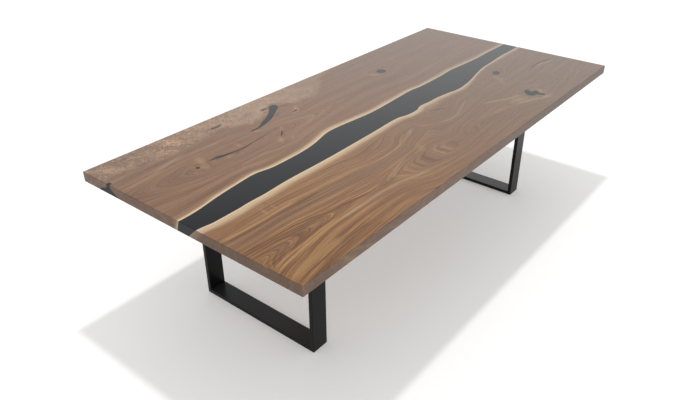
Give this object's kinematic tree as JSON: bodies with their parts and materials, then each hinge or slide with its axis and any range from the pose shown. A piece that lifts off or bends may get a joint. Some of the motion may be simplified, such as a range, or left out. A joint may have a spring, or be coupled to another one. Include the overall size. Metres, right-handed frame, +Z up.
{
  "type": "dining table",
  "caption": "Rectangular dining table: walnut slabs with live edges joined by a flush black resin river, on flat-tube steel leg frames.",
  "frame": {"origin": "on the floor under the middle of the tabletop", "axes": "+X along the table's length, from the front end to the rear end; +Y across it, towards the slab with the burl; +Z up"},
  "size_m": [2.62, 1.22, 0.756],
  "materials": {
    "walnut_burl_side": "satin",
    "walnut_grain_side": "satin",
    "black_resin": "satin",
    "black_powder_coat": "satin",
    "bolts_and_washers": "satin",
    "threaded_inserts": "satin",
    "floor_pads": "matte"
  },
  "bodies": {
    "root": {"walnut_slab_burl_side": "walnut_burl_side", "walnut_slab_grain_side": "walnut_grain_side", "resin_river": "black_resin", "large_crack_resin": "black_resin", "crescent_crack_resin": "black_resin", "long_crack_resin": "black_resin", "short_crack_resin": "black_resin", "front_knot_resin": "black_resin", "burl_pocket_resin": "black_resin", "middle_knot_resin": "black_resin", "rear_knot_resin": "black_resin", "river_knot_resin": "black_resin", "comma_knot_resin": "black_resin", "curved_crack_resin": "black_resin", "end_void_resin": "black_resin", "front_leg_burl_side_upright": "black_powder_coat", "front_leg_grain_side_upright": "black_powder_coat", "front_leg_floor_bar": "black_powder_coat", "front_leg_mounting_plate": "black_powder_coat", "front_leg_floor_pads": "floor_pads", "front_leg_bolts": "bolts_and_washers", "front_leg_washers": "bolts_and_washers", "front_leg_threaded_inserts": "threaded_inserts", "rear_leg_burl_side_upright": "black_powder_coat", "rear_leg_grain_side_upright": "black_powder_coat", "rear_leg_floor_bar": "black_powder_coat", "rear_leg_mounting_plate": "black_powder_coat", "rear_leg_floor_pads": "floor_pads", "rear_leg_bolts": "bolts_and_washers", "rear_leg_washers": "bolts_and_washers", "rear_leg_threaded_inserts": "threaded_inserts", "front_steel_channel": "black_powder_coat", "middle_steel_channel": "black_powder_coat", "rear_steel_channel": "black_powder_coat", "channel_bolts": "bolts_and_washers", "channel_washers": "bolts_and_washers", "channel_threaded_inserts": "threaded_inserts"}
  },
  "joints": []
}
